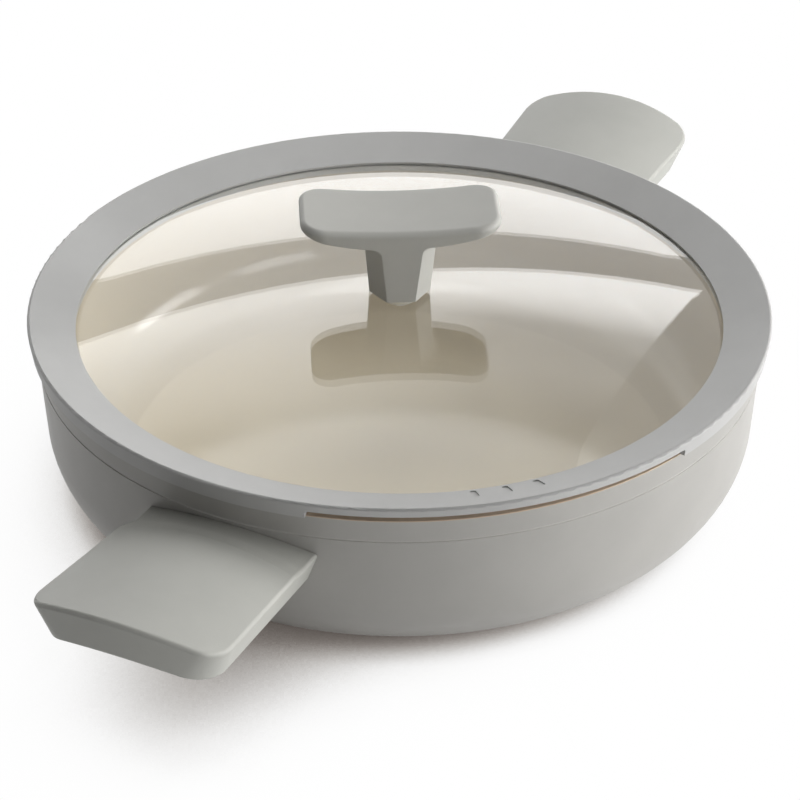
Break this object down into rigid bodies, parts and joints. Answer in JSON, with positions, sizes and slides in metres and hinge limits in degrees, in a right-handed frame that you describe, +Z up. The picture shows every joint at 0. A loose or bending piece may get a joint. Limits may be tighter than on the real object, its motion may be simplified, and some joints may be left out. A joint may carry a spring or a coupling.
{
  "type": "saute pan with lid",
  "caption": "Round saute pan with flat side handles and a domed glass lid in a dished silicone rim with a pouring gap and strainer, lifted by a T-shaped knob.",
  "frame": {"origin": "centre of the base, on the surface that the pan stands on", "axes": "+Z up, +X from the centre along the front handle, +Y a quarter turn anticlockwise from +X seen from above"},
  "size_m": [0.4486, 0.2934, 0.1193],
  "materials": {
    "body_metal": "matte grey paint",
    "ceramic_coating": "satin cream ceramic coating",
    "base_steel": "turned",
    "grip_plastic": "fine matte",
    "bracket_metal": "satin",
    "fixing_steel": "satin",
    "lid_glass": "clear tempered",
    "rim_silicone": "satin silicone",
    "knob_plastic": "fine matte",
    "insert_brass": "turned",
    "seal_silicone": "satin silicone"
  },
  "bodies": {
    "pan": {"pan_body": "body_metal", "interior_coating": "ceramic_coating", "base_disc": "base_steel", "handle_grip_front": "grip_plastic", "handle_grip_back": "grip_plastic", "handle_bracket_front": "bracket_metal", "handle_bracket_back": "bracket_metal", "handle_screw_front": "fixing_steel", "handle_screw_back": "fixing_steel"},
    "lid": {"lid_glass": "lid_glass", "lid_rim": "rim_silicone", "knob_grip": "knob_plastic", "knob_insert": "insert_brass", "knob_seal": "seal_silicone", "knob_gasket": "seal_silicone", "knob_washer": "fixing_steel", "knob_screw": "fixing_steel"}
  },
  "joints": [
    {"name": "lid_lift", "type": "slide", "parent": "pan", "child": "lid", "axis": [0, 0, 1], "range_m": [0, 0.12]}
  ]
}
